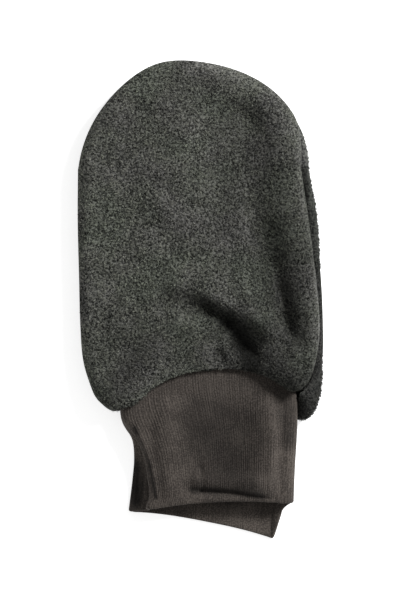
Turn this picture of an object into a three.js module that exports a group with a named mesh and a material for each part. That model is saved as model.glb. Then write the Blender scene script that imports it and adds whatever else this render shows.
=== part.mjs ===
import * as THREE from 'three';

// Fleece mitt lying on its back panel. Millimetres, Z up, fingertips towards +Y, cuff towards -Y.
// Driving sizes
const WIDTH = 142;        // bag, outline to outline
const LENGTH = 278;       // fingertip to the lowest corner of the cuff
const FLEECE = 2.6;       // wall of a fleece panel
const KNIT = 2.0;         // wall of the cuff, knit folded double
const GAP = 0.3;          // clearance between sewn pieces
const EDGE_ROUND = 7;     // radius of the rolled side edges
const CROWN = 29;         // height of the front panel over its middle
const CUFF_HEIGHT = 14;   // height of the flattened cuff
const CURL = 1.6;         // radius where a panel turns in at the side seam
const SEAM_LIP = 3;       // seam allowance inside the bag
const RIB_COUNT = 96;     // knit ribs round the cuff
const RIB_DEPTH = 0.4;

const HALF = WIDTH / 2;
const place = (x, y) => [x * HALF, (y - 0.5) * LENGTH];
const mix = (a, b, t) => a + (b - a) * t;
const mixPlan = (a, b, t) => [mix(a[0], b[0], t), mix(a[1], b[1], t)];
const clamp = (t, lo = 0, hi = 1) => Math.min(hi, Math.max(lo, t));
const ease = (t) => { const c = clamp(t); return c * c * (3 - 2 * c); };
const rad = (deg) => deg * Math.PI / 180;

// A table is a list of rows under named columns.
const table = (names, rows) => rows.map((row) => Object.fromEntries(names.map((name, i) => [name, row[i]])));

// Reads a table at any value of its key column, with smooth slopes between the rows.
function readRow(rows, key, value) {
  const n = rows.length;
  let i = 0;
  while (i < n - 2 && value > rows[i + 1][key]) i += 1;
  const a = rows[i], b = rows[i + 1], p = rows[Math.max(0, i - 1)], q = rows[Math.min(n - 1, i + 2)];
  const span = b[key] - a[key];
  const t = clamp((value - a[key]) / span);
  const row = {};
  for (const name of Object.keys(a)) {
    const sa = (b[name] - p[name]) / (b[key] - p[key]) * span;
    const sb = (q[name] - a[name]) / (q[key] - a[key]) * span;
    const t2 = t * t, t3 = t2 * t;
    row[name] = (2 * t3 - 3 * t2 + 1) * a[name] + (t3 - 2 * t2 + t) * sa
      + (3 * t2 - 2 * t3) * b[name] + (t3 - t2) * sb;
  }
  row[key] = value;
  return row;
}

// Bag from the cuff seam (up 0) to the centre of the rounded tip (up 1). left, right and seam are the
// outline and the right seam across, as shares of the half width; the Y columns are shares of the length.
// turn is how far the right seam has rolled up onto the front, in degrees.
const BAG = table(['up', 'left', 'leftY', 'right', 'rightY', 'seam', 'seamY', 'turn', 'crown'], [
  [0.00, -0.665, 0.271, 0.825, 0.240, 0.805, 0.312, 80, 0.60],
  [0.03, -0.765, 0.269, 0.922, 0.241, 0.835, 0.308, 85, 0.64],
  [0.07, -0.838, 0.290, 0.946, 0.268, 0.870, 0.316, 85, 0.70],
  [0.14, -0.900, 0.326, 0.986, 0.307, 0.920, 0.333, 75, 0.79],
  [0.25, -0.955, 0.374, 1.000, 0.362, 0.968, 0.372, 48, 0.89],
  [0.42, -0.978, 0.447, 0.998, 0.439, 0.990, 0.439, 24, 0.97],
  [0.60, -0.988, 0.541, 0.982, 0.537, 0.968, 0.537, 34, 1.00],
  [0.80, -1.000, 0.666, 0.961, 0.662, 0.913, 0.662, 52, 1.00],
  [1.00, -0.998, 0.771, 0.887, 0.771, 0.850, 0.771, 52, 0.98],
]);
const SEAM_BOW = { front: 9, back: 3 }; // the face's rows arch like the cuff seam, fading up the bag
const SEAM_PUFF = 2.8;     // the front swells by this over the cuff seam
const ROLL_LIFT = 6;       // the rolled right edge stands higher than the left one by this
const SPINE = { low: [0.08, 0.356], high: [-0.057, 0.771] };
const TIP_RISE = 0.2295;   // tip over its centre, share of the length
const TIP_SLIM = { left: 0.07, right: -0.02 }; // the tip's shoulders against a plain oval
const TIP_LEAN = -0.10;    // the tip's top leans to the left, share of the half width
const TIP_SEAM_END = 32;   // degrees round the tip at which the rolled seam is back at the edge
const TIP_LIFT_END = 80;   // degrees round the tip at which the raised rim has sunk to the plain edge

// Folds pressed into the front panel: from (x0, y0) to (x1, y1) as shares, wide and high in millimetres.
const FOLDS = table(['x0', 'y0', 'x1', 'y1', 'wide', 'high'], [
  [0.05, 0.510, 0.50, 0.452, 4.0, 2.8],     // start of the diagonal ridge
  [0.45, 0.460, 0.86, 0.388, 4.4, 4.0],     // diagonal ridge
  [-0.24, 0.500, 0.03, 0.486, 6.0, -2.6],   // valley under it, from its flat start
  [0.10, 0.474, 0.20, 0.458, 6.0, -4.5],    // valley, next part
  [0.27, 0.443, 0.36, 0.415, 6.8, -5.2],    // valley, deeper
  [0.42, 0.395, 0.49, 0.352, 7.2, -6.5],    // valley, steep end at the seam
  [-0.22, 0.450, 0.02, 0.400, 14.0, 1.2],   // swell left of the valley
  [0.17, 0.392, 0.23, 0.366, 2.4, -2.4],    // small wrinkle beside it
  [0.36, 0.870, 0.41, 0.710, 14.0, -6.0],   // broad trough of the upper right
  [0.48, 0.650, 0.55, 0.580, 11.0, -5.5],   // trough narrowing down the right
  [0.59, 0.575, 0.63, 0.545, 11.0, -2.2],   // trough turning steeper
  [0.66, 0.515, 0.745, 0.425, 9.0, -7.4],   // deep end of the trough
  [-0.29, 0.640, -0.10, 0.600, 9.0, -1.2],  // faint hollow left of the middle
  [-0.84, 0.480, -0.80, 0.400, 3.5, -1.2],  // line along the lower left roll
]);

// Cuff from inside the bag (down below 0) over the seam (0) to its mouth (1). The X columns are shares of
// the half width for the ends of the front and back layers; low and high are the layers' heights as shares
// of CUFF_HEIGHT; pleat is how far the left fold is pushed in and skew how far the right one is.
const CUFF = table([
  'down', 'frontLeft', 'backLeft', 'frontRight', 'backRight', 'low', 'high', 'pleat', 'skew',
], [
  [-0.08, -0.545, -0.550, 0.700, 0.690, 0.300, 1.00, 0, 0],
  [0.00, -0.566, -0.570, 0.713, 0.700, 0.300, 1.00, 0, 0],
  [0.15, -0.550, -0.565, 0.706, 0.695, 0.190, 1.00, 0.2, 0.1],
  [0.30, -0.490, -0.520, 0.697, 0.680, 0.110, 1.00, 0.8, 0.3],
  [0.50, -0.420, -0.515, 0.690, 0.655, 0.090, 0.99, 1, 0.5],
  [0.70, -0.385, -0.530, 0.681, 0.612, 0.090, 0.97, 1, 0.8],
  [0.88, -0.365, -0.548, 0.672, 0.588, 0.090, 0.94, 1, 1],
  [1.00, -0.390, -0.560, 0.672, 0.590, 0.090, 0.91, 0.9, 1],
]);
const [SEAM_LINE, HEM_LINE] = table(['frontLeft', 'frontRight', 'backLeft', 'backRight', 'arch'], [
  [0.283, 0.313, 0.270, 0.250, 0.058],
  [0.068, 0.079, 0.060, 0.003, 0.009],
]);
// Creases pressed into the cuff's front layer, as the folds of the front panel.
const CREASES = table(['x0', 'y0', 'x1', 'y1', 'wide', 'high'], [
  [0.02, 0.1025, 0.30, 0.099, 2.3, -2.4],   // crease over the hem
  [-0.13, 0.109, -0.02, 0.104, 2.8, -0.9],  // its shallow left end
  [0.345, 0.097, 0.62, 0.086, 1.9, -1.4],   // crease running out at the right corner
  [0.00, 0.125, 0.45, 0.118, 4.2, 2.6],     // soft roll over the crease
  [0.005, 0.150, 0.025, 0.122, 2.3, -1.0],  // short upright crease
  [0.58, 0.260, 0.55, 0.130, 12.0, 4.6],    // swell at the right
  [-0.27, 0.270, -0.24, 0.110, 8.0, 2.6],   // swell at the left
  [0.14, 0.160, 0.36, 0.215, 3.0, -0.7],    // faint slanting wrinkle
  [0.10, 0.190, 0.28, 0.250, 3.0, -0.6],    // faint slanting wrinkle above it
]);
const FOLD_SHARE = 1 / 12;                    // part of the ring in each side fold
const SIDE_SHARE = 0.5 - FOLD_SHARE;

function cuffPoint(down, around) {
  const row = readRow(CUFF, 'down', down);
  const a = ((around % 1) + 1) % 1;
  const low = row.low * CUFF_HEIGHT, high = row.high * CUFF_HEIGHT, round = (high - low) / 2;
  const lineY = (name) => mix(SEAM_LINE[name], HEM_LINE[name], down);
  const arch = mix(SEAM_LINE.arch, HEM_LINE.arch, ease(down * 1.1));
  const rise = (u) => arch * (1 - Math.abs(clamp((u - 0.52) / 0.5, -1, 1)) ** 2.6);
  const front = (u) => place(mix(row.frontLeft, row.frontRight, u),
    mix(lineY('frontLeft'), lineY('frontRight'), u) + rise(u));
  const back = (u) => place(mix(row.backLeft, row.backRight, u),
    mix(lineY('backLeft'), lineY('backRight'), u) + rise(u));
  if (a < SIDE_SHARE) {
    const u = a / SIDE_SHARE;
    const p = front(u);
    const fade = ease(u * 9) * ease((1 - u) * 9) * ease(down * 6);
    return [p[0], p[1], high + foldHeight(CREASES, ...p) * fade];
  }
  if (a >= 0.5 && a < 0.5 + SIDE_SHARE) {
    const p = back(1 - (a - 0.5) / SIDE_SHARE);
    return [p[0], p[1], low];
  }
  const right = a < 0.5;
  const turn = right ? (a - SIDE_SHARE) / FOLD_SHARE : (1 - a) / FOLD_SHARE; // 0 front, 1 back
  const angle = Math.PI * (0.5 - turn);
  const share = (1 + Math.sin(angle)) / 2;
  const z = mix(low, high, share);
  if (right) {
    const hang = mix(share, ease(share * 2), row.skew);
    const p = mixPlan(back(1), front(1), hang);
    const bulge = round * Math.cos(angle) * (1 - 0.75 * row.skew * ease(-Math.sin(angle) * 3));
    return [p[0] + bulge, p[1], z];
  }
  const p = mixPlan(back(0), front(0), share);
  const pushed = 1.6 * Math.abs(Math.sin(2 * angle)) - 4.5 * Math.cos(angle) ** 4;
  return [p[0] - mix(round * Math.cos(angle), pushed, row.pleat), p[1], z];
}

function cuffNormal(down, around) {
  const e = 0.004;
  const v = (d, a) => new THREE.Vector3(...cuffPoint(d, a));
  const along = v(Math.min(1, down + e * 2), around).sub(v(Math.max(-0.08, down - e * 2), around));
  const across = v(down, around + e).sub(v(down, around - e));
  return across.cross(along).normalize().multiplyScalar(-1);
}

// Height that the folds of a table add at one point of the plan.
function foldHeight(folds, x, y) {
  let z = 0;
  for (const f of folds) {
    const a = place(f.x0, f.y0), b = place(f.x1, f.y1);
    const dx = b[0] - a[0], dy = b[1] - a[1];
    const t = clamp(((x - a[0]) * dx + (y - a[1]) * dy) / (dx * dx + dy * dy));
    const away = Math.hypot(x - a[0] - t * dx, y - a[1] - t * dy);
    z += f.high * Math.exp(-((away / f.wide) ** 2));
  }
  return z;
}

// One station of the side seam: outline, seam and spine points in plan, and how far the seam is rolled up.
function station(side, up, tipAngle) {
  if (tipAngle === undefined) {
    const row = readRow(BAG, 'up', up);
    const spine = mixPlan(place(...SPINE.low), place(...SPINE.high), up);
    const edge = side < 0 ? place(row.left, row.leftY) : place(row.right, row.rightY);
    const seam = side < 0 ? edge : place(row.seam, row.seamY);
    const rolled = side < 0 ? { turn: 0, lift: 0 } : { turn: row.turn, lift: 1 };
    return { up, edge, seam, spine, crown: row.crown * CROWN, ...rolled };
  }
  const top = BAG[BAG.length - 1];
  const spine = place(...SPINE.high);
  const c = Math.cos(tipAngle), s = Math.sin(tipAngle);
  const reach = c > 0 ? top.right * HALF - spine[0] : spine[0] - top.left * HALF;
  const across = reach * (1 - TIP_SLIM[c > 0 ? 'right' : 'left'] * s ** 0.8);
  const lean = TIP_LEAN * HALF * s ** 8;
  const edge = [spine[0] + across * c + lean, spine[1] + TIP_RISE * LENGTH * s];
  const left = ease(1 - tipAngle / rad(TIP_SEAM_END));
  const inset = (top.right - top.seam) * HALF * left;
  const seam = [edge[0] - inset, edge[1]];
  const lift = ease((rad(TIP_LIFT_END) - tipAngle) / 0.7);
  return { up: 1, edge, seam, spine, turn: top.turn * left, crown: top.crown * CROWN, lift };
}

// Middle of the panel's wall at one station: seam lip, curl, rolled edge, then the face up to the spine.
const ARC = { front: [0.25, 0.5, 0.75, 1], back: [0.22, 0.42, 0.6, 0.8, 1] };
const FACE = { front: 9, back: 4 };
function profile(face, st) {
  const isFront = face === 'front', flip = isFront ? 1 : -1;
  const reach = Math.hypot(st.edge[0] - st.spine[0], st.edge[1] - st.spine[1]);
  const out = [(st.edge[0] - st.spine[0]) / reach, (st.edge[1] - st.spine[1]) / reach];
  const trim = (p) => [p[0] - out[0] * FLEECE / 2, p[1] - out[1] * FLEECE / 2];
  const edge = trim(st.edge), seam = trim(st.seam);
  const turn = rad(st.turn), half = GAP / 2 + FLEECE / 2;
  const seamZ = FLEECE / 2 + EDGE_ROUND * (1 + Math.sin(turn));
  const tuck = ease((st.up - 0.03) / 0.05);  // the seam allowance tapers away at the cuff
  const at = (deep, over, plain) => {
    const inside = deep * tuck, aside = flip * mix(plain, over, tuck);
    const flat = -inside * Math.cos(turn) - aside * Math.sin(turn);
    return [seam[0] + out[0] * flat, seam[1] + out[1] * flat,
      seamZ - inside * Math.sin(turn) + aside * Math.cos(turn)];
  };
  const points = [
    at(CURL + SEAM_LIP, half, 1.3), at(CURL, half, 1.5),
    at(CURL * 0.3, half + CURL * 0.3, 1.95), at(0, half + CURL, half + CURL),
  ];
  const skip = (half + CURL) / EDGE_ROUND;
  const bow = SEAM_BOW[face] * (1 - ease(st.up / 0.45));
  const bowed = (p, t) => [p[0], p[1] + bow * Math.sin(Math.PI * t)];
  if (isFront) {
    const start = Math.min(turn, rad(50));
    const lift = SEAM_PUFF * (1 - ease(st.up / 0.25)) + ROLL_LIFT * st.lift;
    const topZ = Math.max(FLEECE / 2 + 2 * EDGE_ROUND, seamZ + 3) + lift;
    const from = start + skip;
    let end = seam;
    for (const share of ARC.front) {
      const angle = mix(from, Math.PI / 2, share);
      const flat = EDGE_ROUND * (Math.cos(start) - Math.cos(angle));
      end = [seam[0] - out[0] * flat, seam[1] - out[1] * flat];
      const z = mix(seamZ, topZ, (Math.sin(angle) - Math.sin(start)) / (1 - Math.sin(start)));
      points.push([...end, z]);
    }
    for (let i = 1; i <= FACE.front; i += 1) {
      const t = i / FACE.front;
      const p = bowed(mixPlan(end, st.spine, t), t);
      const folded = foldHeight(FOLDS, ...p) * ease(t * 4) * ease(st.up / 0.1);
      points.push([...p, mix(topZ, st.crown - FLEECE / 2, ease(t)) + folded]);
    }
  } else {
    let end = edge;
    for (const share of ARC.back) {
      const angle = mix(turn - skip, -Math.PI / 2, share);
      if (angle > 0) {
        const t = (1 - Math.cos(angle)) / (1 - Math.cos(turn));
        end = mixPlan(edge, seam, t);
      } else {
        const flat = EDGE_ROUND * (1 - Math.cos(angle));
        end = [edge[0] - out[0] * flat, edge[1] - out[1] * flat];
      }
      points.push([...end, FLEECE / 2 + EDGE_ROUND * (1 + Math.sin(angle))]);
    }
    for (let i = 1; i <= FACE.back; i += 1) {
      const t = i / FACE.back;
      points.push([...bowed(mixPlan(end, st.spine, t), t), FLEECE / 2]);
    }
  }
  return points;
}

// The panel's row at the cuff: it lies over the cuff's ring, clear of it by GAP.
const SEAM_AROUND = { left: -FOLD_SHARE * 0.5, right: SIDE_SHARE + FOLD_SHARE * 0.25 };
function cuffRow(face, side, count) {
  const isFront = face === 'front';
  const start = side < 0 ? SEAM_AROUND.left : SEAM_AROUND.right;
  let corner = side < 0 ? 0 : SIDE_SHARE, middle = SIDE_SHARE / 2;
  if (!isFront) {
    corner = side < 0 ? -FOLD_SHARE : 0.5;
    middle = side < 0 ? -0.5 + SIDE_SHARE / 2 : 0.5 + SIDE_SHARE / 2;
  }
  const begin = start + 0.007 * Math.sign(corner - start);
  const clear = KNIT / 2 + RIB_DEPTH / 2 + GAP + FLEECE / 2 + 0.1;
  const bends = 3 + ARC[face].length;
  const points = [];
  for (let i = 0; i < count; i += 1) {
    const onFace = (i - bends) / (count - 1 - bends);
    const around = i <= bends ? mix(begin, corner, i / bends) : mix(corner, middle, onFace);
    const bent = i < bends ? 0.4 : 0;
    const p = new THREE.Vector3(...cuffPoint(0, around)).addScaledVector(cuffNormal(0, around), clear + bent);
    if (!isFront) p.z = Math.max(p.z, FLEECE / 2);
    points.push([p.x, p.y, p.z]);
  }
  return points;
}

// Grid of stations from the left end of the cuff seam round the tip to its right end.
const SIDE_ROWS = [
  0, 0.025, 0.05, 0.08, 0.12, 0.17, 0.225, 0.28, 0.335, 0.39, 0.445, 0.5, 0.56, 0.62, 0.69, 0.76, 0.84, 0.92,
];
const TIP_STEPS = 22;
function panelRows(face) {
  const rows = [];
  const sideRow = (side, up) => {
    const points = profile(face, station(side, up));
    const pull = Math.max(0, 1 - up / 0.1) ** 2;
    if (pull === 0) return points;
    const ring = cuffRow(face, side, points.length);
    return points.map((p, i) => p.map((v, axis) => mix(v, ring[i][axis], pull)));
  };
  for (const up of SIDE_ROWS) rows.push(sideRow(-1, up));
  for (let i = 0; i <= TIP_STEPS; i += 1) {
    rows.push(profile(face, station(1, 1, Math.PI * (1 - i / TIP_STEPS))));
  }
  for (const up of [...SIDE_ROWS].reverse()) rows.push(sideRow(1, up));
  return rows;
}

// Closed solid from the middle surface: both faces at half the wall, and a strip along every open edge.
function thicken(vertices, faces, wall) {
  const normals = vertices.map(() => new THREE.Vector3());
  const v = vertices.map((p) => new THREE.Vector3(...p));
  for (const [a, b, c] of faces) {
    const n = v[b].clone().sub(v[a]).cross(v[c].clone().sub(v[a]));
    for (const k of [a, b, c]) normals[k].add(n);
  }
  const positions = [];
  for (const sign of [1, -1]) {
    v.forEach((p, i) => {
      const n = normals[i].clone().normalize();
      positions.push(...p.clone().addScaledVector(n, sign * wall / 2).toArray());
    });
  }
  const count = v.length, index = [], used = new Set();
  for (const [a, b, c] of faces) for (const [p, q] of [[a, b], [b, c], [c, a]]) used.add(p * count + q);
  for (const [a, b, c] of faces) {
    index.push(a, b, c, c + count, b + count, a + count);
    for (const [p, q] of [[a, b], [b, c], [c, a]]) {
      if (!used.has(q * count + p)) index.push(q, p, p + count, q, p + count, q + count);
    }
  }
  return { positions, index };
}

function panelSolid(face) {
  const rows = panelRows(face);
  const vertices = [], faces = [], names = new Map();
  const id = (p) => {
    const key = p.map((c) => c.toFixed(3)).join(' ');
    if (!names.has(key)) { names.set(key, vertices.length); vertices.push(p); }
    return names.get(key);
  };
  const grid = rows.map((row) => row.map(id));
  for (let j = 0; j + 1 < grid.length; j += 1) {
    for (let i = 0; i + 1 < grid[j].length; i += 1) {
      const a = grid[j][i], b = grid[j][i + 1], c = grid[j + 1][i + 1], d = grid[j + 1][i];
      const turned = face === 'front' ? [[a, c, b], [a, d, c]] : [[a, b, c], [a, c, d]];
      for (const f of turned) if (f[0] !== f[1] && f[1] !== f[2] && f[0] !== f[2]) faces.push(f);
    }
  }
  return thicken(vertices, faces, FLEECE);
}

// Cuff: ribbed outside, plain inside, a rounded fold at the mouth.
const CUFF_ROWS = [-0.08, 0, 0.12, 0.26, 0.42, 0.58, 0.74, 0.86, 0.93, 1];
function cuffSolid() {
  const outerCount = RIB_COUNT * 2, innerCount = RIB_COUNT / 2, each = outerCount / innerCount;
  const positions = [], index = [];
  const ring = (count, down, lift, forward) => {
    const first = positions.length / 3;
    for (let i = 0; i < count; i += 1) {
      const around = i / count;
      const n = cuffNormal(down, around);
      const p = new THREE.Vector3(...cuffPoint(down, around)).addScaledVector(n, lift(i));
      p.y -= forward;
      positions.push(p.x, p.y, Math.max(0, p.z));
    }
    return first;
  };
  const rib = (i) => KNIT / 2 + (i % 2 ? -0.5 : 0.5) * RIB_DEPTH;
  const quad = (a, b, c, d) => index.push(a, c, b, a, d, c);
  const outer = CUFF_ROWS.map((down) => ring(outerCount, down, rib, 0));
  const inner = CUFF_ROWS.map((down) => ring(innerCount, down, () => -KNIT / 2, 0));
  const mouth = ring(innerCount, 1, () => 0, KNIT / 2);
  for (let j = 0; j + 1 < CUFF_ROWS.length; j += 1) {
    for (let i = 0; i < outerCount; i += 1) {
      const k = (i + 1) % outerCount;
      quad(outer[j] + i, outer[j] + k, outer[j + 1] + k, outer[j + 1] + i);
    }
    for (let i = 0; i < innerCount; i += 1) {
      const k = (i + 1) % innerCount;
      quad(inner[j] + i, inner[j + 1] + i, inner[j + 1] + k, inner[j] + k);
    }
  }
  // a fine ring joined to a coarse one; flip turns the strip over
  const join = (fine, coarse, flip) => {
    for (let i = 0; i < innerCount; i += 1) {
      const next = coarse + ((i + 1) % innerCount), here = coarse + i;
      const f = (s) => fine + ((i * each + s) % outerCount);
      const tri = (a, b, c) => (flip ? index.push(a, b, c) : index.push(a, c, b));
      tri(f(0), f(1), here); tri(f(1), f(2), here); tri(f(2), next, here);
      tri(f(2), f(3), next); tri(f(3), f(4), next);
    }
  };
  const last = CUFF_ROWS.length - 1;
  join(outer[last], mouth, false);
  for (let i = 0; i < innerCount; i += 1) {
    const k = (i + 1) % innerCount;
    quad(mouth + i, mouth + k, inner[last] + k, inner[last] + i);
  }
  join(outer[0], inner[0], true);
  return { positions, index };
}

function meshOf(name, solid, material) {
  const geometry = new THREE.BufferGeometry();
  geometry.setAttribute('position', new THREE.Float32BufferAttribute(solid.positions, 3));
  geometry.setIndex(solid.index);
  geometry.computeVertexNormals();
  const mesh = new THREE.Mesh(geometry, new THREE.MeshStandardMaterial(material));
  mesh.name = name;
  return mesh;
}

const group = new THREE.Group();
group.name = 'fleece_mitt';
const cloth = (color) => ({ color, roughness: 0.95, metalness: 0 });
group.add(meshOf('front_panel', panelSolid('front'), cloth(0x474743)));
group.add(meshOf('back_panel', panelSolid('back'), cloth(0x3f403c)));
group.add(meshOf('cuff', cuffSolid(), cloth(0x3a3631)));

// The middle of the whole outline stands over the origin, the underside on Z 0.
const box = new THREE.Box3().setFromObject(group);
const middle = box.getCenter(new THREE.Vector3());
for (const mesh of group.children) mesh.geometry.translate(-middle.x, -middle.y, -box.min.z);

export default group;
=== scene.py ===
import math

import bmesh
import bpy
import numpy as np
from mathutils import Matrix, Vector


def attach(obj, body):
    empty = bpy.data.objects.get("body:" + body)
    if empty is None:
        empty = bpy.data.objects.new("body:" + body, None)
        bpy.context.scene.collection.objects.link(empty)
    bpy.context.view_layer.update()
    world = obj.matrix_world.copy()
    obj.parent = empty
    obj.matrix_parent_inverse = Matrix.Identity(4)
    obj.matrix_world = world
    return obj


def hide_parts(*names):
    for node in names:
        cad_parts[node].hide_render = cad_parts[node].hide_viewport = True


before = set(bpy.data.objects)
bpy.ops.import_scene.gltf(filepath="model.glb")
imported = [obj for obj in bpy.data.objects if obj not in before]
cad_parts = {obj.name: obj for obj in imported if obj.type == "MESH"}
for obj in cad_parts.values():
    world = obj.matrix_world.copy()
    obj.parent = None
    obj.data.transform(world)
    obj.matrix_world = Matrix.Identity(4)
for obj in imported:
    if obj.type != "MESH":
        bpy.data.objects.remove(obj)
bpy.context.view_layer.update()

# Sizes of the mitt in millimetres, the same as in the solids
MM = 0.001  # in metres
WIDTH, LENGTH = 142.0, 278.0
FLEECE, KNIT, GAP = 2.6, 2.0, 0.3
EDGE_ROUND, CROWN, CUFF_HEIGHT = 7.0, 29.0, 14.0
CURL, SEAM_LIP = 1.6, 3.0
RIB_DEPTH = 0.4
HALF = WIDTH / 2
MIDDLE = np.array([0.31935, 0.05596])  # middle of the solids' plan, which lies at 0, 0 in the frame

# Ribs that show, finer and shallower than in the solids
RIBS_SHOWN, RIB_SHOWN = 144, 0.12


def mix(a, b, t):
    return a + (b - a) * t


def ease(t):
    c = np.clip(t, 0.0, 1.0)
    return c * c * (3 - 2 * c)


def place(x, y):
    """Millimetres in plan, from shares of half the width and of the length."""
    return np.array([x * HALF, (y - 0.5) * LENGTH])


def read_row(table, value):
    """A table's row at any value of its first column, with smooth slopes between the rows."""
    n = len(table)
    i = 0
    while i < n - 2 and value > table[i + 1][0]:
        i += 1
    a, b, p, q = table[i], table[i + 1], table[max(0, i - 1)], table[min(n - 1, i + 2)]
    span = b[0] - a[0]
    t = min(1.0, max(0.0, (value - a[0]) / span))
    sa, sb = (b - p) / (b[0] - p[0]) * span, (q - a) / (q[0] - a[0]) * span
    t2, t3 = t * t, t * t * t
    return (2 * t3 - 3 * t2 + 1) * a + (t3 - 2 * t2 + t) * sa + (3 * t2 - 2 * t3) * b + (t3 - t2) * sb


# Bag, from the cuff seam to the centre of the rounded tip:
# up, left, left y, right, right y, seam, seam y, turn of the seam in degrees, crown
BAG = np.array([
    [0.00, -0.665, 0.271, 0.825, 0.240, 0.805, 0.312, 80, 0.60],
    [0.03, -0.765, 0.269, 0.922, 0.241, 0.835, 0.308, 85, 0.64],
    [0.07, -0.838, 0.290, 0.946, 0.268, 0.870, 0.316, 85, 0.70],
    [0.14, -0.900, 0.326, 0.986, 0.307, 0.920, 0.333, 75, 0.79],
    [0.25, -0.955, 0.374, 1.000, 0.362, 0.968, 0.372, 48, 0.89],
    [0.42, -0.978, 0.447, 0.998, 0.439, 0.990, 0.439, 24, 0.97],
    [0.60, -0.988, 0.541, 0.982, 0.537, 0.968, 0.537, 34, 1.00],
    [0.80, -1.000, 0.666, 0.961, 0.662, 0.913, 0.662, 52, 1.00],
    [1.00, -0.998, 0.771, 0.887, 0.771, 0.850, 0.771, 52, 0.98],
])
SPINE_LOW, SPINE_HIGH = place(0.08, 0.356), place(-0.057, 0.771)

# Rolled edge: puff near the cuff, lift on the right, steepest start of the roll, least height over the seam,
# bow of the face towards the tip; an end is a share of the way up the bag
SEAM_PUFF, PUFF_END = 2.8, 0.25
ROLL_LIFT, ROLL_START, TOP_OVER_SEAM = 6.0, math.radians(50), 3
SEAM_BOW, BOW_END = {"front": 9.0, "back": 3.0}, 0.45

# Rounded tip: how high, how it leans and slims, and where the turned seam and the lift of the roll end
TIP_RISE, TIP_LEAN, TIP_LEAN_POWER = 0.2295, -0.10, 8
TIP_SLIM, TIP_SLIM_POWER = {"left": 0.07, "right": -0.02}, 0.8
TIP_SEAM_END, TIP_LIFT_END, TIP_LIFT_FADE = math.radians(32), math.radians(80), 0.7

# Edge at the cuff, as shares of the way up the bag: where the panel follows the cuff, where the seam turns in
NEAR_CUFF, TUCK_START, TUCK_FADE = 0.1, 0.03, 0.05
LIP_ASIDE = (1.3, 1.5)  # millimetres from the seam, before it turns in

# Folds of the front panel: from x, y to x, y, width and height in millimetres
FOLDS = [
    (0.05, 0.510, 0.50, 0.452, 4.0, 2.8),
    (0.45, 0.460, 0.86, 0.388, 4.4, 4.0),
    (-0.24, 0.500, 0.03, 0.486, 6.0, -2.6),
    (0.10, 0.474, 0.20, 0.458, 6.0, -4.5),
    (0.27, 0.443, 0.36, 0.415, 6.8, -5.2),
    (0.42, 0.395, 0.49, 0.352, 7.2, -6.5),
    (-0.22, 0.450, 0.02, 0.400, 14.0, 1.2),
    (0.17, 0.392, 0.23, 0.366, 2.4, -2.4),
    (0.36, 0.870, 0.41, 0.710, 14.0, -6.0),
    (0.48, 0.650, 0.55, 0.580, 11.0, -5.5),
    (0.59, 0.575, 0.63, 0.545, 11.0, -2.2),
    (0.66, 0.515, 0.745, 0.425, 9.0, -7.4),
    (-0.29, 0.640, -0.10, 0.600, 9.0, -1.2),
    (-0.84, 0.480, -0.80, 0.400, 3.5, -1.2),
]
FOLD_FADE = 4  # the folds fade out over a quarter of the face, next to the rolled edge

# Cuff, from inside the bag over the seam to its mouth:
# down, front left, back left, front right, back right, low, high, pleat, skew
CUFF = np.array([
    [-0.08, -0.545, -0.550, 0.700, 0.690, 0.300, 1.00, 0, 0],
    [0.00, -0.566, -0.570, 0.713, 0.700, 0.300, 1.00, 0, 0],
    [0.15, -0.550, -0.565, 0.706, 0.695, 0.190, 1.00, 0.2, 0.1],
    [0.30, -0.490, -0.520, 0.697, 0.680, 0.110, 1.00, 0.8, 0.3],
    [0.50, -0.420, -0.515, 0.690, 0.655, 0.090, 0.99, 1, 0.5],
    [0.70, -0.385, -0.530, 0.681, 0.612, 0.090, 0.97, 1, 0.8],
    [0.88, -0.365, -0.548, 0.672, 0.588, 0.090, 0.94, 1, 1],
    [1.00, -0.390, -0.560, 0.672, 0.590, 0.090, 0.91, 0.9, 1],
])
CUFF_TOP = -0.08
SEAM_LINE = {"front left": 0.283, "front right": 0.313, "back left": 0.270, "back right": 0.250, "arch": 0.058}
HEM_LINE = {"front left": 0.068, "front right": 0.079, "back left": 0.060, "back right": 0.003, "arch": 0.009}
# Arch of the seam and hem lines over a layer's width, and how soon one becomes the other down the cuff
ARCH_CENTRE, ARCH_REACH, ARCH_POWER, ARCH_CHANGE = 0.52, 0.5, 2.6, 1.1

# Creases of the cuff's front layer, as the folds of the front panel
CREASES = [
    (0.02, 0.1025, 0.30, 0.099, 2.3, -2.4),
    (-0.13, 0.109, -0.02, 0.104, 2.8, -0.9),
    (0.345, 0.097, 0.62, 0.086, 1.9, -1.4),
    (0.00, 0.125, 0.45, 0.118, 4.2, 2.6),
    (0.005, 0.150, 0.025, 0.122, 2.3, -1.0),
    (0.58, 0.260, 0.55, 0.130, 12.0, 4.6),
    (-0.27, 0.270, -0.24, 0.110, 8.0, 2.6),
    (0.14, 0.160, 0.36, 0.215, 3.0, -0.7),
    (0.10, 0.190, 0.28, 0.250, 3.0, -0.6),
]
CREASE_FADE_ACROSS, CREASE_FADE_DOWN = 9, 6  # the larger, the closer to the edges the creases reach

# Side folds of the cuff: share of the way round, flattening of the skewed one, and the pleat of the left one
FOLD_SHARE = 1 / 12
SIDE_SHARE = 0.5 - FOLD_SHARE
SKEW_FLAT, SKEW_CHANGE = 0.75, 3
PLEAT_OUT, PLEAT_IN, PLEAT_POWER = 1.6, 4.5, 4


def fold_height(folds, p):
    z = np.zeros(len(p))
    for x0, y0, x1, y1, wide, high in folds:
        a, b = place(x0, y0), place(x1, y1)
        d = b - a
        t = np.clip(((p - a) @ d) / (d @ d), 0, 1)
        z += high * np.exp(-(np.linalg.norm(p - a - t[:, None] * d, axis=1) / wide) ** 2)
    return z


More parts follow.
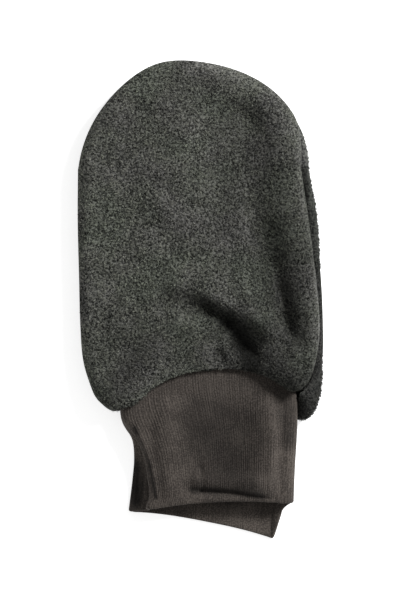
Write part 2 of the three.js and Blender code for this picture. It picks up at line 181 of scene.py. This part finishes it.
def cuff_ring(down, around):
    """Points of the middle of the cuff's wall at one distance down it, for an array of shares around."""
    _, front_left, back_left, front_right, back_right, low, high, pleat, skew = read_row(CUFF, down)
    low, high = low * CUFF_HEIGHT, high * CUFF_HEIGHT
    bulge = (high - low) / 2
    arch = mix(SEAM_LINE["arch"], HEM_LINE["arch"], float(ease(down * ARCH_CHANGE)))

    def layer(name, u):
        left, right = (front_left, front_right) if name == "front" else (back_left, back_right)
        y0 = mix(SEAM_LINE[name + " left"], HEM_LINE[name + " left"], down)
        y1 = mix(SEAM_LINE[name + " right"], HEM_LINE[name + " right"], down)
        rise = arch * (1 - np.abs(np.clip((u - ARCH_CENTRE) / ARCH_REACH, -1, 1)) ** ARCH_POWER)
        return np.stack([mix(left, right, u) * HALF, (mix(y0, y1, u) + rise - 0.5) * LENGTH], -1)

    a = np.mod(around, 1.0)
    out = np.zeros((len(a), 3))
    # front layer
    m = a < SIDE_SHARE
    u = np.clip(a / SIDE_SHARE, 0, 1)
    p = layer("front", u)
    inward = ease(u * CREASE_FADE_ACROSS) * ease((1 - u) * CREASE_FADE_ACROSS)
    z = high + fold_height(CREASES, p) * inward * float(ease(down * CREASE_FADE_DOWN))
    out[m, :2], out[m, 2] = p[m], z[m]
    # back layer
    m = (a >= 0.5) & (a < 0.5 + SIDE_SHARE)
    out[m, :2], out[m, 2] = layer("back", np.clip(1 - (a - 0.5) / SIDE_SHARE, 0, 1))[m], low
    # side folds
    one, zero = np.ones(len(a)), np.zeros(len(a))
    for right in (True, False):
        m = (a >= SIDE_SHARE) & (a < 0.5) if right else a >= 0.5 + SIDE_SHARE
        turn = (a - SIDE_SHARE) / FOLD_SHARE if right else (1 - a) / FOLD_SHARE
        angle = math.pi * (0.5 - turn)
        share = (1 + np.sin(angle)) / 2
        if right:
            hang = mix(share, ease(share * 2), skew)[:, None]
            p = mix(layer("back", one), layer("front", one), hang)
            p[:, 0] += bulge * np.cos(angle) * (1 - SKEW_FLAT * skew * ease(-np.sin(angle) * SKEW_CHANGE))
        else:
            p = mix(layer("back", zero), layer("front", zero), share[:, None])
            pushed = PLEAT_OUT * np.abs(np.sin(2 * angle)) - PLEAT_IN * np.cos(angle) ** PLEAT_POWER
            p[:, 0] -= mix(bulge * np.cos(angle), pushed, pleat)
        out[m, :2], out[m, 2] = p[m], mix(low, high, share)[m]
    return out


def cuff_normal(down, around):
    step = 0.004  # as a share
    along = cuff_ring(min(1.0, down + 2 * step), around) - cuff_ring(max(CUFF_TOP, down - 2 * step), around)
    across = cuff_ring(down, around + step) - cuff_ring(down, around - step)
    n = np.cross(along, across)
    return n / np.linalg.norm(n, axis=1, keepdims=True)


def station(side, up, tip_angle=None):
    """One place of the side seam: edge, seam and spine points in plan, turn of the seam, crown, lift of the roll."""
    if tip_angle is None:
        _, left, left_y, right, right_y, seam_x, seam_y, turn, crown = read_row(BAG, up)
        spine = mix(SPINE_LOW, SPINE_HIGH, up)
        if side < 0:
            edge = place(left, left_y)
            return up, edge, edge, spine, 0.0, crown * CROWN, 0.0
        return up, place(right, right_y), place(seam_x, seam_y), spine, turn, crown * CROWN, 1.0
    _, left, _, right, _, seam_x, _, turn, crown = BAG[-1]
    c, s = math.cos(tip_angle), math.sin(tip_angle)
    across = right * HALF - SPINE_HIGH[0] if c > 0 else SPINE_HIGH[0] - left * HALF
    across *= 1 - TIP_SLIM["right" if c > 0 else "left"] * max(0.0, s) ** TIP_SLIM_POWER
    edge = SPINE_HIGH + np.array([across * c + TIP_LEAN * HALF * s ** TIP_LEAN_POWER, TIP_RISE * LENGTH * s])
    still = float(ease(1 - tip_angle / TIP_SEAM_END))
    seam = edge - np.array([(right - seam_x) * HALF * still, 0])
    lift = float(ease((TIP_LIFT_END - tip_angle) / TIP_LIFT_FADE))
    return 1.0, edge, seam, SPINE_HIGH, turn * still, crown * CROWN, lift


# How many points the profile of a panel gets: seam lip, curl, rolled edge, face
STEPS = {"front": (4, 6, 14, 74), "back": (3, 5, 18, 40)}


def profile(face, st):
    """Middle of the panel's wall at one station, from inside the seam over the rolled edge to the spine."""
    up, edge, seam, spine, turn, crown, raised = st
    flip = 1 if face == "front" else -1
    out = (edge - spine) / np.linalg.norm(edge - spine)
    edge, seam = edge - out * FLEECE / 2, seam - out * FLEECE / 2
    turn, half = math.radians(turn), GAP / 2 + FLEECE / 2
    seam_z = FLEECE / 2 + EDGE_ROUND * (1 + math.sin(turn))
    tuck = float(ease((up - TUCK_START) / TUCK_FADE))
    n_lip, n_curl, n_arc, n_face = STEPS[face]

    def at(deep, over, plain):
        inside, aside = deep * tuck, flip * mix(plain, over, tuck)
        flat = -inside * math.cos(turn) - aside * math.sin(turn)
        return np.concatenate([seam + out * flat, [seam_z - inside * math.sin(turn) + aside * math.cos(turn)]])

    points = []
    for i in range(n_lip):
        t = i / n_lip
        points.append(at(CURL + SEAM_LIP * (1 - t), half, mix(*LIP_ASIDE, t)))
    for i in range(n_curl + 1):
        b = math.pi / 2 * i / n_curl
        plain = mix(LIP_ASIDE[1], half + CURL, i / n_curl)
        points.append(at(CURL * (1 - math.sin(b)), half + CURL * (1 - math.cos(b)), plain))
    skip = (half + CURL) / EDGE_ROUND
    bow = SEAM_BOW[face] * (1 - float(ease(up / BOW_END)))
    shares = np.arange(1, n_arc + 1) / n_arc
    t = np.arange(1, n_face + 1) / n_face
    if face == "front":
        start = min(turn, ROLL_START)
        lift = SEAM_PUFF * (1 - float(ease(up / PUFF_END))) + ROLL_LIFT * raised
        top = max(FLEECE / 2 + 2 * EDGE_ROUND, seam_z + TOP_OVER_SEAM) + lift
        angle = mix(start + skip, math.pi / 2, shares)
        flat = EDGE_ROUND * (math.cos(start) - np.cos(angle))
        arc = seam[None] - out[None] * flat[:, None]
        z = mix(seam_z, top, (np.sin(angle) - math.sin(start)) / (1 - math.sin(start)))
    else:
        angle = mix(turn - skip, -math.pi / 2, shares)
        rolled = (1 - np.cos(angle)) / max(1e-6, 1 - math.cos(turn))
        under = edge[None] - out[None] * (EDGE_ROUND * (1 - np.cos(angle)))[:, None]
        arc = np.where(angle[:, None] > 0, mix(edge[None], seam[None], rolled[:, None]), under)
        z = FLEECE / 2 + EDGE_ROUND * (1 + np.sin(angle))
    rows = np.concatenate([arc, z[:, None]], 1)
    p = mix(arc[-1][None], spine[None], t[:, None])
    p[:, 1] += bow * np.sin(math.pi * t)
    if face == "front":
        folds = fold_height(FOLDS, p) * ease(t * FOLD_FADE) * float(ease(up / NEAR_CUFF))
        z = mix(top, crown - FLEECE / 2, ease(t)) + folds
    else:
        z = np.full(n_face, FLEECE / 2)
    return np.concatenate([np.array(points), rows, np.concatenate([p, z[:, None]], 1)])


# Side seams of the bag where they lie over the cuff, left and right, as shares around it, half the room between
# the panels there, and how far the panels' edges stand off in millimetres
SEAM_AROUND, BESIDE_SEAM = {-1: -FOLD_SHARE * 0.5, 1: SIDE_SHARE + FOLD_SHARE * 0.25}, 0.007
STAND_OFF, LIP_STAND_OFF = 0.1, 0.4


def cuff_row(face, side, count):
    """The panel's edge where it lies over the cuff."""
    start = SEAM_AROUND[side]
    corner, middle = (0.0 if side < 0 else SIDE_SHARE), SIDE_SHARE / 2
    if face == "back":
        corner = -FOLD_SHARE if side < 0 else 0.5
        middle = (-0.5 if side < 0 else 0.5) + SIDE_SHARE / 2
    begin = start + BESIDE_SEAM * math.copysign(1, corner - start)
    bends = sum(STEPS[face][:3])
    i = np.arange(count)
    on_face = (i - bends) / (count - 1 - bends)
    around = np.where(i <= bends, mix(begin, corner, i / bends), mix(corner, middle, on_face))
    clear = KNIT / 2 + RIB_DEPTH / 2 + GAP + FLEECE / 2 + STAND_OFF + np.where(i < bends, LIP_STAND_OFF, 0)
    p = cuff_ring(0.0, around) + cuff_normal(0.0, around) * clear[:, None]
    if face == "back":
        p[:, 2] = np.maximum(p[:, 2], FLEECE / 2)
    return p


def panel_rows(face, side_rows, tip_steps):
    """Profiles up the left side, round the tip and down the right side, closer together near the cuff."""
    crowding = 1.15  # 1 would spread the profiles evenly
    ups = np.linspace(0, 1, side_rows, endpoint=False) ** crowding

    def side_row(side, up):
        p = profile(face, station(side, up))
        pull = max(0.0, 1 - up / NEAR_CUFF) ** 2
        return mix(p, cuff_row(face, side, len(p)), pull) if pull > 0 else p

    left = [side_row(-1, up) for up in ups]
    tip = [profile(face, station(1, 1, math.pi * (1 - i / tip_steps))) for i in range(tip_steps + 1)]
    right = [side_row(1, up) for up in ups[::-1]]
    return np.array(left + tip + right)


def shifted(points):
    """Points moved into the frame, whose origin is under the middle of the solids."""
    points = points.copy()
    points[..., :2] -= MIDDLE
    return points


def grid_mesh(points):
    """A bmesh grid whose vertices are moved to points[j][i], millimetres in and metres out."""
    rows, columns = points.shape[:2]
    bm = bmesh.new()
    bm.loops.layers.uv.new("along")
    bmesh.ops.create_grid(bm, x_segments=columns - 1, y_segments=rows - 1, size=0.5, calc_uvs=True)
    bm.verts.ensure_lookup_table()
    flat = points.reshape(-1, 3) * MM
    for v in bm.verts:
        i = round((v.co.x + 0.5) * (columns - 1))
        j = round((v.co.y + 0.5) * (rows - 1))
        v.co = flat[j * columns + i]
    bmesh.ops.remove_doubles(bm, verts=bm.verts, dist=0.02 * MM)
    bmesh.ops.recalc_face_normals(bm, faces=bm.faces)
    return bm


def add_object(name, data):
    thing = bpy.data.objects.new(name, data)
    bpy.context.scene.collection.objects.link(thing)
    return thing


def finish_piece(name, bm, material):
    mesh = bpy.data.meshes.new(name)
    bm.to_mesh(mesh)
    bm.free()
    for face in mesh.polygons:
        face.use_smooth = True
    mesh.materials.append(material)
    return add_object(name, mesh)


# Pile fibres, in millimetres and radians; the pairs are least and most
PER_TUFT, TUFT_WIDE, TUFT_TURN, TURN_SPREAD = 5, 0.35, 1.5, 0.8
PILE_LENGTH, PILE_WIDE, PILE_DEEP, LEAST_HEIGHT = 1.4, 0.22, 0.1, 0.02
LENGTH_SHARES, RISE_SHARES, BENDS = (0.7, 1.3), (0.25, 0.75), (0.7, 1.9)
TIP_DROP, TWIST_SPREAD = 0.3, 0.3
ASLANT = (0.3, 1.0, 0.2)  # a slanting direction, from which each fibre's own axes are found


def pile(name, face, rows, columns, tufts, seed, material):
    """Curled pile fibres, each a ribbon of three triangles, in small tufts over some columns of a panel's grid."""
    rng = np.random.default_rng(seed)
    p = rows[:, columns]
    a, b, c = p[:-1, :-1], p[1:, :-1], p[:-1, 1:]
    normal = np.cross(c - a, b - a) * (1 if face == "front" else -1)
    area = np.linalg.norm(normal, axis=-1)
    pick = rng.choice(area.size, tufts, p=(area / area.sum()).ravel())
    j, i = np.divmod(pick, area.shape[1])
    u, v = rng.random((2, tufts, 1))
    n = normal[j, i] / np.maximum(area[j, i], 1e-9)[:, None]
    root = a[j, i] + (c - a)[j, i] * u + (b - a)[j, i] * v + n * (FLEECE / 2 - PILE_DEEP)
    # from tufts to fibres
    n, root = np.repeat(n, PER_TUFT, 0), np.repeat(root, PER_TUFT, 0)
    count = len(root)
    side = np.cross(n, ASLANT)
    side /= np.linalg.norm(side, axis=1, keepdims=True)
    other = np.cross(n, side)

    def along(angle):
        return side * np.cos(angle)[:, None] + other * np.sin(angle)[:, None]

    turn = np.repeat(rng.uniform(0, 2 * math.pi, tufts), PER_TUFT) + rng.normal(0, TURN_SPREAD, count)
    bend = rng.uniform(*BENDS, count) * np.where(rng.random(count) < 0.5, -1, 1)
    length = (PILE_LENGTH * rng.uniform(*LENGTH_SHARES, count))[:, None]
    rise = rng.uniform(*RISE_SHARES, count)[:, None] * PILE_LENGTH
    root += along(turn + TUFT_TURN) * rng.normal(0, TUFT_WIDE, count)[:, None]
    middle = root + along(turn) * length * 0.5 + n * rise
    end = middle + along(turn + bend) * length * 0.5 - n * rise * TIP_DROP
    twist = n * (rng.normal(0, TWIST_SPREAD, count) * PILE_WIDE)[:, None]
    wide = along(turn + math.pi / 2) * PILE_WIDE / 2 + twist
    wider = along(turn + bend / 2 + math.pi / 2) * PILE_WIDE / 2
    points = np.stack([root - wide, root + wide, middle - wider, middle + wider, end], 1)
    points[..., 2] = np.maximum(points[..., 2], LEAST_HEIGHT)
    faces = np.array([[0, 1, 3], [0, 3, 2], [2, 3, 4]])[None] + 5 * np.arange(count)[:, None, None]
    mesh = bpy.data.meshes.new(name)
    mesh.from_pydata((points.reshape(-1, 3) * MM).tolist(), [], faces.reshape(-1, 3).tolist())
    mesh.materials.append(material)
    piece = add_object(name, mesh)
    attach(piece, "root")


def to_linear(code):
    """An sRGB hex code as linear colour with alpha 1."""
    parts = [int(code[i:i + 2], 16) / 255 for i in (1, 3, 5)]
    return tuple(c / 12.92 if c <= 0.04045 else ((c + 0.055) / 1.055) ** 2.4 for c in parts) + (1.0,)


def new_material(name, settings):
    """A material, its node tree and its shader, with constants on the shader's own sockets."""
    material = bpy.data.materials.new(name)
    material.use_nodes = True
    tree = material.node_tree
    shader = tree.nodes["Principled BSDF"]
    for key, value in settings.items():
        shader.inputs[key].default_value = value
    return material, tree, shader


def add_node(tree, kind, settings=None, inputs=None):
    """Adds a node; inputs maps a socket to a value or to another node's socket."""
    node = tree.nodes.new(kind)
    for key, value in (settings or {}).items():
        setattr(node, key, value)
    for key, value in (inputs or {}).items():
        if isinstance(value, bpy.types.NodeSocket):
            tree.links.new(value, node.inputs[key])
        else:
            node.inputs[key].default_value = value
    return node


def noise(tree, vector, size, detail, roughness=0.5):
    """A noise node whose lumps are about size millimetres wide, or one unit of the vector where size is None."""
    scale = 1.0 if size is None else 1 / (size * MM)
    return add_node(tree, "ShaderNodeTexNoise",
                    inputs={"Vector": vector, "Scale": scale, "Detail": detail, "Roughness": roughness})


def number(tree, operation, *values):
    return add_node(tree, "ShaderNodeMath", {"operation": operation}, dict(enumerate(values))).outputs[0]


def vector(tree, operation, inputs):
    return add_node(tree, "ShaderNodeVectorMath", {"operation": operation}, inputs)


def ramp(tree, factor, stops):
    node = add_node(tree, "ShaderNodeValToRGB", inputs={0: factor})
    elements = node.color_ramp.elements
    while len(elements) < len(stops):
        elements.new(0.5)
    for element, (at, color) in zip(elements, stops):
        element.position = at
        element.color = color
    return node.outputs[0]


# Painted shade and painted light: marks that darken the colour along lines where folds, troughs, creases and
# overhanging edges lie in shade, and lighten it where the amount is below 0:
# from x, y to x, y as shares, width in millimetres, how much
# Front panel: painted shade in the folds' valleys, the troughs at the right and along the cuff seam; painted light at
# the tip and down the left side
FRONT_PAINTED_LIGHT_AND_SHADE = [
    (-0.26, 0.500, -0.08, 0.506, 6, 0.30), (-0.08, 0.498, 0.04, 0.488, 7, 0.50),
    (0.04, 0.488, 0.22, 0.455, 7, 0.72), (0.22, 0.455, 0.32, 0.430, 8, 0.88),
    (0.32, 0.430, 0.42, 0.370, 8.5, 0.97), (0.30, 0.370, 0.64, 0.348, 4, 0.50),
    (0.16, 0.392, 0.22, 0.365, 3, 0.50), (0.50, 0.880, 0.52, 0.780, 14, 0.30),
    (0.50, 0.800, 0.60, 0.660, 17, 0.45), (0.58, 0.640, 0.69, 0.520, 17, 0.62),
    (0.70, 0.520, 0.79, 0.420, 11, 0.66), (-0.10, 0.950, -0.05, 0.950, 22, 0.20),
    (0.20, 0.740, 0.30, 0.600, 16, 0.22), (0.36, 0.478, 0.66, 0.420, 8, 0.52),
    (0.66, 0.370, 0.82, 0.330, 11, 0.67), (0.70, 0.440, 0.90, 0.360, 10, 0.44),
    (0.88, 0.740, 0.88, 0.420, 6, 0.35), (0.40, 0.450, 0.60, 0.400, 5, 0.55),
    (0.24, 0.880, 0.28, 0.650, 12, 0.42), (-0.48, 0.388, -0.74, 0.290, 9, 0.40),
    (0.09, 0.435, 0.18, 0.425, 5, 0.50), (0.50, 0.385, 0.66, 0.380, 5, 0.55),
    (0.86, 0.770, 0.87, 0.715, 3, 0.60), (-0.05, 0.990, 0.25, 0.985, 4, -0.35),
    (-0.58, 0.720, -0.62, 0.560, 26, -0.24),
]
# Back panel: painted shade on its strip and lobe at the right, under the front's rolled edge
BACK_PAINTED_SHADE = [
    (0.95, 0.770, 1.00, 0.600, 7, 0.74), (1.00, 0.600, 1.01, 0.380, 7, 0.74),
    (1.01, 0.380, 0.96, 0.270, 8, 0.80), (0.96, 0.285, 0.80, 0.270, 9, 0.70),
    (0.86, 0.770, 0.87, 0.715, 3, 0.80),
]
# Cuff: painted shade in its middle hollow, its creases, under the front hem, in the left pleat and under the bag's
# edge; painted light on the inner flap at the mouth and on the narrow strip beside the pleat
KNIT_PAINTED_LIGHT_AND_SHADE = [
    (0.00, 0.250, 0.34, 0.240, 14, 0.51), (0.14, 0.215, 0.24, 0.160, 18, 0.62),
    (0.67, 0.300, 0.69, 0.260, 7, 0.35), (-0.06, 0.105, 0.20, 0.104, 2.2, 0.78),
    (0.20, 0.104, 0.50, 0.092, 2.0, 0.78), (0.05, 0.118, 0.20, 0.116, 7, 0.35),
    (-0.54, 0.155, -0.53, 0.080, 4, 0.92), (-0.535, 0.235, -0.47, 0.201, 1.1, 0.85),
    (-0.47, 0.201, -0.412, 0.160, 1.1, 0.85), (-0.412, 0.160, -0.358, 0.089, 1.1, 0.85),
    (0.02, 0.152, 0.01, 0.115, 1.6, 0.45), (0.02, 0.305, 0.45, 0.300, 9, 0.26),
    (0.72, 0.275, 0.72, 0.205, 5, 0.50), (0.05, 0.078, 0.32, 0.072, 3, 0.35),
    (0.00, 0.050, 0.45, 0.030, 9, -0.50), (-0.50, 0.205, -0.48, 0.170, 4, -0.40),
]
MARK_REACH = 1.9  # a mark ends at this many times its width
DARKEST = 0.06  # share of the colour that is left in any case


def paint_light_and_shade(tree, coord, color, marks):
    """The colour with painted shade and light: soft marks along lines in plan take from it, or add to it where their
    amount is below 0.
    """
    plan = vector(tree, "MULTIPLY", {0: coord, 1: (1, 1, 0)}).outputs[0]
    total = 0.0
    for x0, y0, x1, y1, wide, much in marks:
        start, end = ((place(x, y) - MIDDLE) * MM for x, y in ((x0, y0), (x1, y1)))
        line = end - start
        along = line / (line @ line)
        away = vector(tree, "SUBTRACT", {0: plan, 1: (*start, 0)}).outputs[0]
        share = vector(tree, "DOT_PRODUCT", {0: away, 1: (*along, 0)}).outputs["Value"]
        kept = add_node(tree, "ShaderNodeClamp", inputs={0: share}).outputs[0]
        foot = vector(tree, "SCALE", {0: (*line, 0), "Scale": kept}).outputs[0]
        gap = vector(tree, "DISTANCE", {0: away, 1: foot}).outputs["Value"]
        near = add_node(tree, "ShaderNodeMapRange", {"interpolation_type": "SMOOTHERSTEP"},
                        {0: gap, 1: 0.0, 2: wide * MARK_REACH * MM, 3: much, 4: 0.0}).outputs[0]
        total = number(tree, "MAXIMUM" if much > 0 else "ADD", near, total)
    left = add_node(tree, "ShaderNodeMapRange", {"clamp": False},
                    {0: total, 1: 0.0, 2: 1.0, 3: 1.0, 4: DARKEST}).outputs[0]
    left = number(tree, "MAXIMUM", left, DARKEST)
    return vector(tree, "SCALE", {0: color, "Scale": left}).outputs[0]


def dress(tree, shader, coord, color, marks, height, strength, distance):
    """Puts the colour with its painted shade and light and the bump of a height on a shader; distance in millimetres.
    """
    tree.links.new(paint_light_and_shade(tree, coord, color, marks), shader.inputs["Base Color"])
    bump = add_node(tree, "ShaderNodeBump", inputs={"Height": height, "Strength": strength, "Distance": distance * MM})
    tree.links.new(bump.outputs[0], shader.inputs["Normal"])


# Widths of the fleece's tufts, fibres, nap and casts of colour, and of the waves that shift them, in millimetres
TUFT, FIBRE, NAP, CAST, WAVES, WAVES_SHIFT = 1.25, 0.5, 15.0, 28.0, 3.0, 1.4
FIBRE_HEIGHT, NAP_TONE = 0.6, 0.2  # against the tufts
GREENISH, PLAIN, VIOLET = (0.97, 1.015, 0.96, 1), (1, 1, 0.99, 1), (1.02, 0.985, 1.04, 1)


def fleece_material(name, pit, body, tip, marks):
    """Brushed polyester pile fleece: small curled tufts with dark pits between them, matte with a soft sheen. The
    colour follows the bump's height, so the pits' darkness is the grain's own tone and painted shade at once; the
    marks add painted light and shade.
    """
    material, tree, shader = new_material(name, {
        "Roughness": 0.95, "Specular IOR Level": 0.12, "Sheen Weight": 0.15, "Sheen Roughness": 0.6,
        "Sheen Tint": to_linear("#8c8f86")})
    coord = add_node(tree, "ShaderNodeTexCoord").outputs["Object"]
    waves = noise(tree, coord, WAVES, 2.0).outputs["Color"]
    shift = vector(tree, "SCALE", {0: waves, "Scale": WAVES_SHIFT * MM}).outputs[0]
    moved = vector(tree, "ADD", {0: coord, 1: shift}).outputs[0]
    tufts = noise(tree, moved, TUFT, 3.0, 0.6).outputs[0]
    fibres = noise(tree, moved, FIBRE, 2.0, 0.7).outputs[0]
    nap = noise(tree, coord, NAP, 3.0).outputs[0]
    height = number(tree, "MULTIPLY_ADD", fibres, FIBRE_HEIGHT, tufts)
    tone = number(tree, "MULTIPLY_ADD", nap, NAP_TONE, height)
    # Partly painted shade: the colour darkens with the height of the bump, down to the pit colour between the tufts
    color = ramp(tree, tone, [(0.76, to_linear(pit)), (0.90, to_linear(body)), (1.06, to_linear(tip))])
    patches = noise(tree, coord, CAST, 1.0).outputs[0]
    cast = ramp(tree, patches, [(0.35, GREENISH), (0.5, PLAIN), (0.65, VIOLET)])
    color = vector(tree, "MULTIPLY", {0: color, 1: cast}).outputs[0]
    dress(tree, shader, coord, color, marks, height, strength=0.9, distance=1.0)
    return material


# Widths of the knit's yarn and worn patches in millimetres, and streaks across a rib and down the cuff
YARN, WORN, STREAKS_PER_RIB, STREAKS_DOWN = 0.8, 14.0, 1.8, 9
YARN_HEIGHT, WAVE_HEIGHT, WORN_TONE, STREAK_TONE = 0.6, 0.08, 0.4, 0.45


def knit_material(name, deep, body, high):
    """Rib knit of cotton yarn with elastane: upright ribs of small stitches, matte, browner than the fleece."""
    material, tree, shader = new_material(name, {
        "Roughness": 0.9, "Specular IOR Level": 0.2, "Sheen Weight": 0.2, "Sheen Roughness": 0.5,
        "Sheen Tint": to_linear("#9a9088")})
    uv = add_node(tree, "ShaderNodeUVMap", {"uv_map": "along"}).outputs[0]
    coord = add_node(tree, "ShaderNodeTexCoord").outputs["Object"]
    across = add_node(tree, "ShaderNodeSeparateXYZ", inputs={0: uv}).outputs[0]
    wave = number(tree, "COSINE", number(tree, "MULTIPLY", across, 2 * math.pi * RIBS_SHOWN))
    long = vector(tree, "MULTIPLY", {0: uv, 1: (RIBS_SHOWN * STREAKS_PER_RIB, STREAKS_DOWN, 0)}).outputs[0]
    streaks = noise(tree, long, None, 2.0).outputs[0]
    yarn = noise(tree, coord, YARN, 2.0).outputs[0]
    wear = noise(tree, coord, WORN, 3.0).outputs[0]
    ribs = number(tree, "MULTIPLY_ADD", wave, WAVE_HEIGHT, streaks)
    height = number(tree, "MULTIPLY_ADD", yarn, YARN_HEIGHT, ribs)
    fine = number(tree, "MULTIPLY_ADD", streaks, STREAK_TONE, yarn)
    tone = number(tree, "MULTIPLY_ADD", wear, WORN_TONE, fine)
    color = ramp(tree, tone, [(0.65, to_linear(deep)), (0.92, to_linear(body)), (1.18, to_linear(high))])
    dress(tree, shader, coord, color, KNIT_PAINTED_LIGHT_AND_SHADE, height, strength=0.6, distance=0.5)
    return material


fleece = fleece_material("brushed_fleece_front", "#080907", "#444542", "#6c6d67", FRONT_PAINTED_LIGHT_AND_SHADE)
fleece_tips = fleece_material("fleece_pile_front", "#171816", "#585954", "#828479", FRONT_PAINTED_LIGHT_AND_SHADE)
# The back panel and its pile are the same fleece as the front in a darker copy, painted shade for the back's strip
# that lies in the front's shadow
fleece_under = fleece_material("brushed_fleece_back", "#080907", "#404140", "#666762", BACK_PAINTED_SHADE)
tips_under = fleece_material("fleece_pile_back", "#141513", "#50514d", "#777970", BACK_PAINTED_SHADE)
rib_knit = knit_material("rib_knit_cotton", "#2c2825", "#3d3834", "#4f4944")

# Fleece panels and their pile: rows up each side, steps round the tip, tufts, seed, materials
PANELS = (
    ("back", 110, 130, 4000, 4, fleece_under, tips_under),
    ("front", 150, 180, 12500, 3, fleece, fleece_tips),
)
PILE_UNDER = 4  # columns of the back's flat face, next to its rolled edge, that have pile too
for face, side_rows, tip_steps, tufts, seed, material, tips in PANELS:
    rows = shifted(panel_rows(face, side_rows, tip_steps))
    piece = finish_piece(face + "_fleece", grid_mesh(rows), material)
    wall = piece.modifiers.new("wall", "SOLIDIFY")
    wall.thickness, wall.offset, wall.use_even_offset = FLEECE * MM, 0.0, False
    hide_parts(face + "_panel")
    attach(piece, "root")
    first = sum(STEPS[face][:2]) + 1
    last = None if face == "front" else first + STEPS[face][2] + PILE_UNDER
    pile(face + "_pile", face, rows, slice(first, last), tufts, seed, tips)

# Cuff: one closed skin that runs down the outside, round the mouth and back up the inside
POINTS_PER_RIB, OUTER_ROWS, MOUTH_STEPS, INNER_ROWS = 6, 64, 5, 22
columns = RIBS_SHOWN * POINTS_PER_RIB
around = np.arange(columns + 1) / columns
rib = np.cos(around * 2 * math.pi * RIBS_SHOWN)
outer = (KNIT / 2 + (RIB_DEPTH + (rib - 1) * RIB_SHOWN) / 2)[:, None]
skin = [cuff_ring(down, around) + cuff_normal(down, around) * outer
        for down in np.linspace(CUFF_TOP, 1.0, OUTER_ROWS)]
for k in range(1, MOUTH_STEPS):
    turn = math.pi * k / MOUTH_STEPS
    ring = cuff_ring(1.0, around) + cuff_normal(1.0, around) * (KNIT / 2 * math.cos(turn))
    ring[:, 1] -= KNIT / 2 * math.sin(turn)
    skin.append(ring)
skin += [cuff_ring(down, around) - cuff_normal(down, around) * (KNIT / 2)
         for down in np.linspace(1.0, CUFF_TOP, INNER_ROWS)]
skin = shifted(np.array(skin + skin[:1]))
skin[..., 2] = np.maximum(skin[..., 2], 0.0)
cuff = finish_piece("rib_cuff", grid_mesh(skin), rib_knit)
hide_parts("cuff")
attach(cuff, "root")

# Floor
bm = bmesh.new()
bmesh.ops.create_grid(bm, x_segments=1, y_segments=1, size=3.0)
white, _, _ = new_material("matte_white_paper", {
    "Base Color": (0.92, 0.92, 0.92, 1), "Roughness": 1.0, "Specular IOR Level": 0.0,
    "Emission Color": (1, 1, 1, 1), "Emission Strength": 0.68})
floor = finish_piece("floor", bm, white)

# Light: a bright room and a large soft lamp from the upper right
LAMP_AT, LAMP_SIZE, LAMP_POWER, ROOM = (0.80, 0.62, 0.74), 0.35, 22.5, 0.37
scene = bpy.context.scene
scene.view_settings.view_transform = "Standard"
scene.world = bpy.data.worlds.new("room")
scene.world.use_nodes = True
room = scene.world.node_tree.nodes["Background"]
room.inputs["Color"].default_value = (1, 1, 1, 1)
room.inputs["Strength"].default_value = ROOM
lamp_data = bpy.data.lights.new("key", "AREA")
lamp_data.size, lamp_data.energy = LAMP_SIZE, LAMP_POWER
lamp = add_object("key", lamp_data)
lamp.location = LAMP_AT
lamp.rotation_euler = (-Vector(LAMP_AT)).to_track_quat("-Z", "Y").to_euler()

# Camera straight above, with the photo's scale at a height of 10 mm
PIXEL, PICTURE_ROWS = 0.58 * MM, 600
HEIGHT, SCALE_HEIGHT, SENSOR = 1.6, 0.010, 36.0
camera_data = bpy.data.cameras.new("camera")
camera = add_object("camera", camera_data)
scene.camera = camera
camera.location = (0, 0, HEIGHT)
camera_data.sensor_fit = "VERTICAL"
camera_data.sensor_height = SENSOR
camera_data.lens = SENSOR * (HEIGHT - SCALE_HEIGHT) / (PICTURE_ROWS * PIXEL)
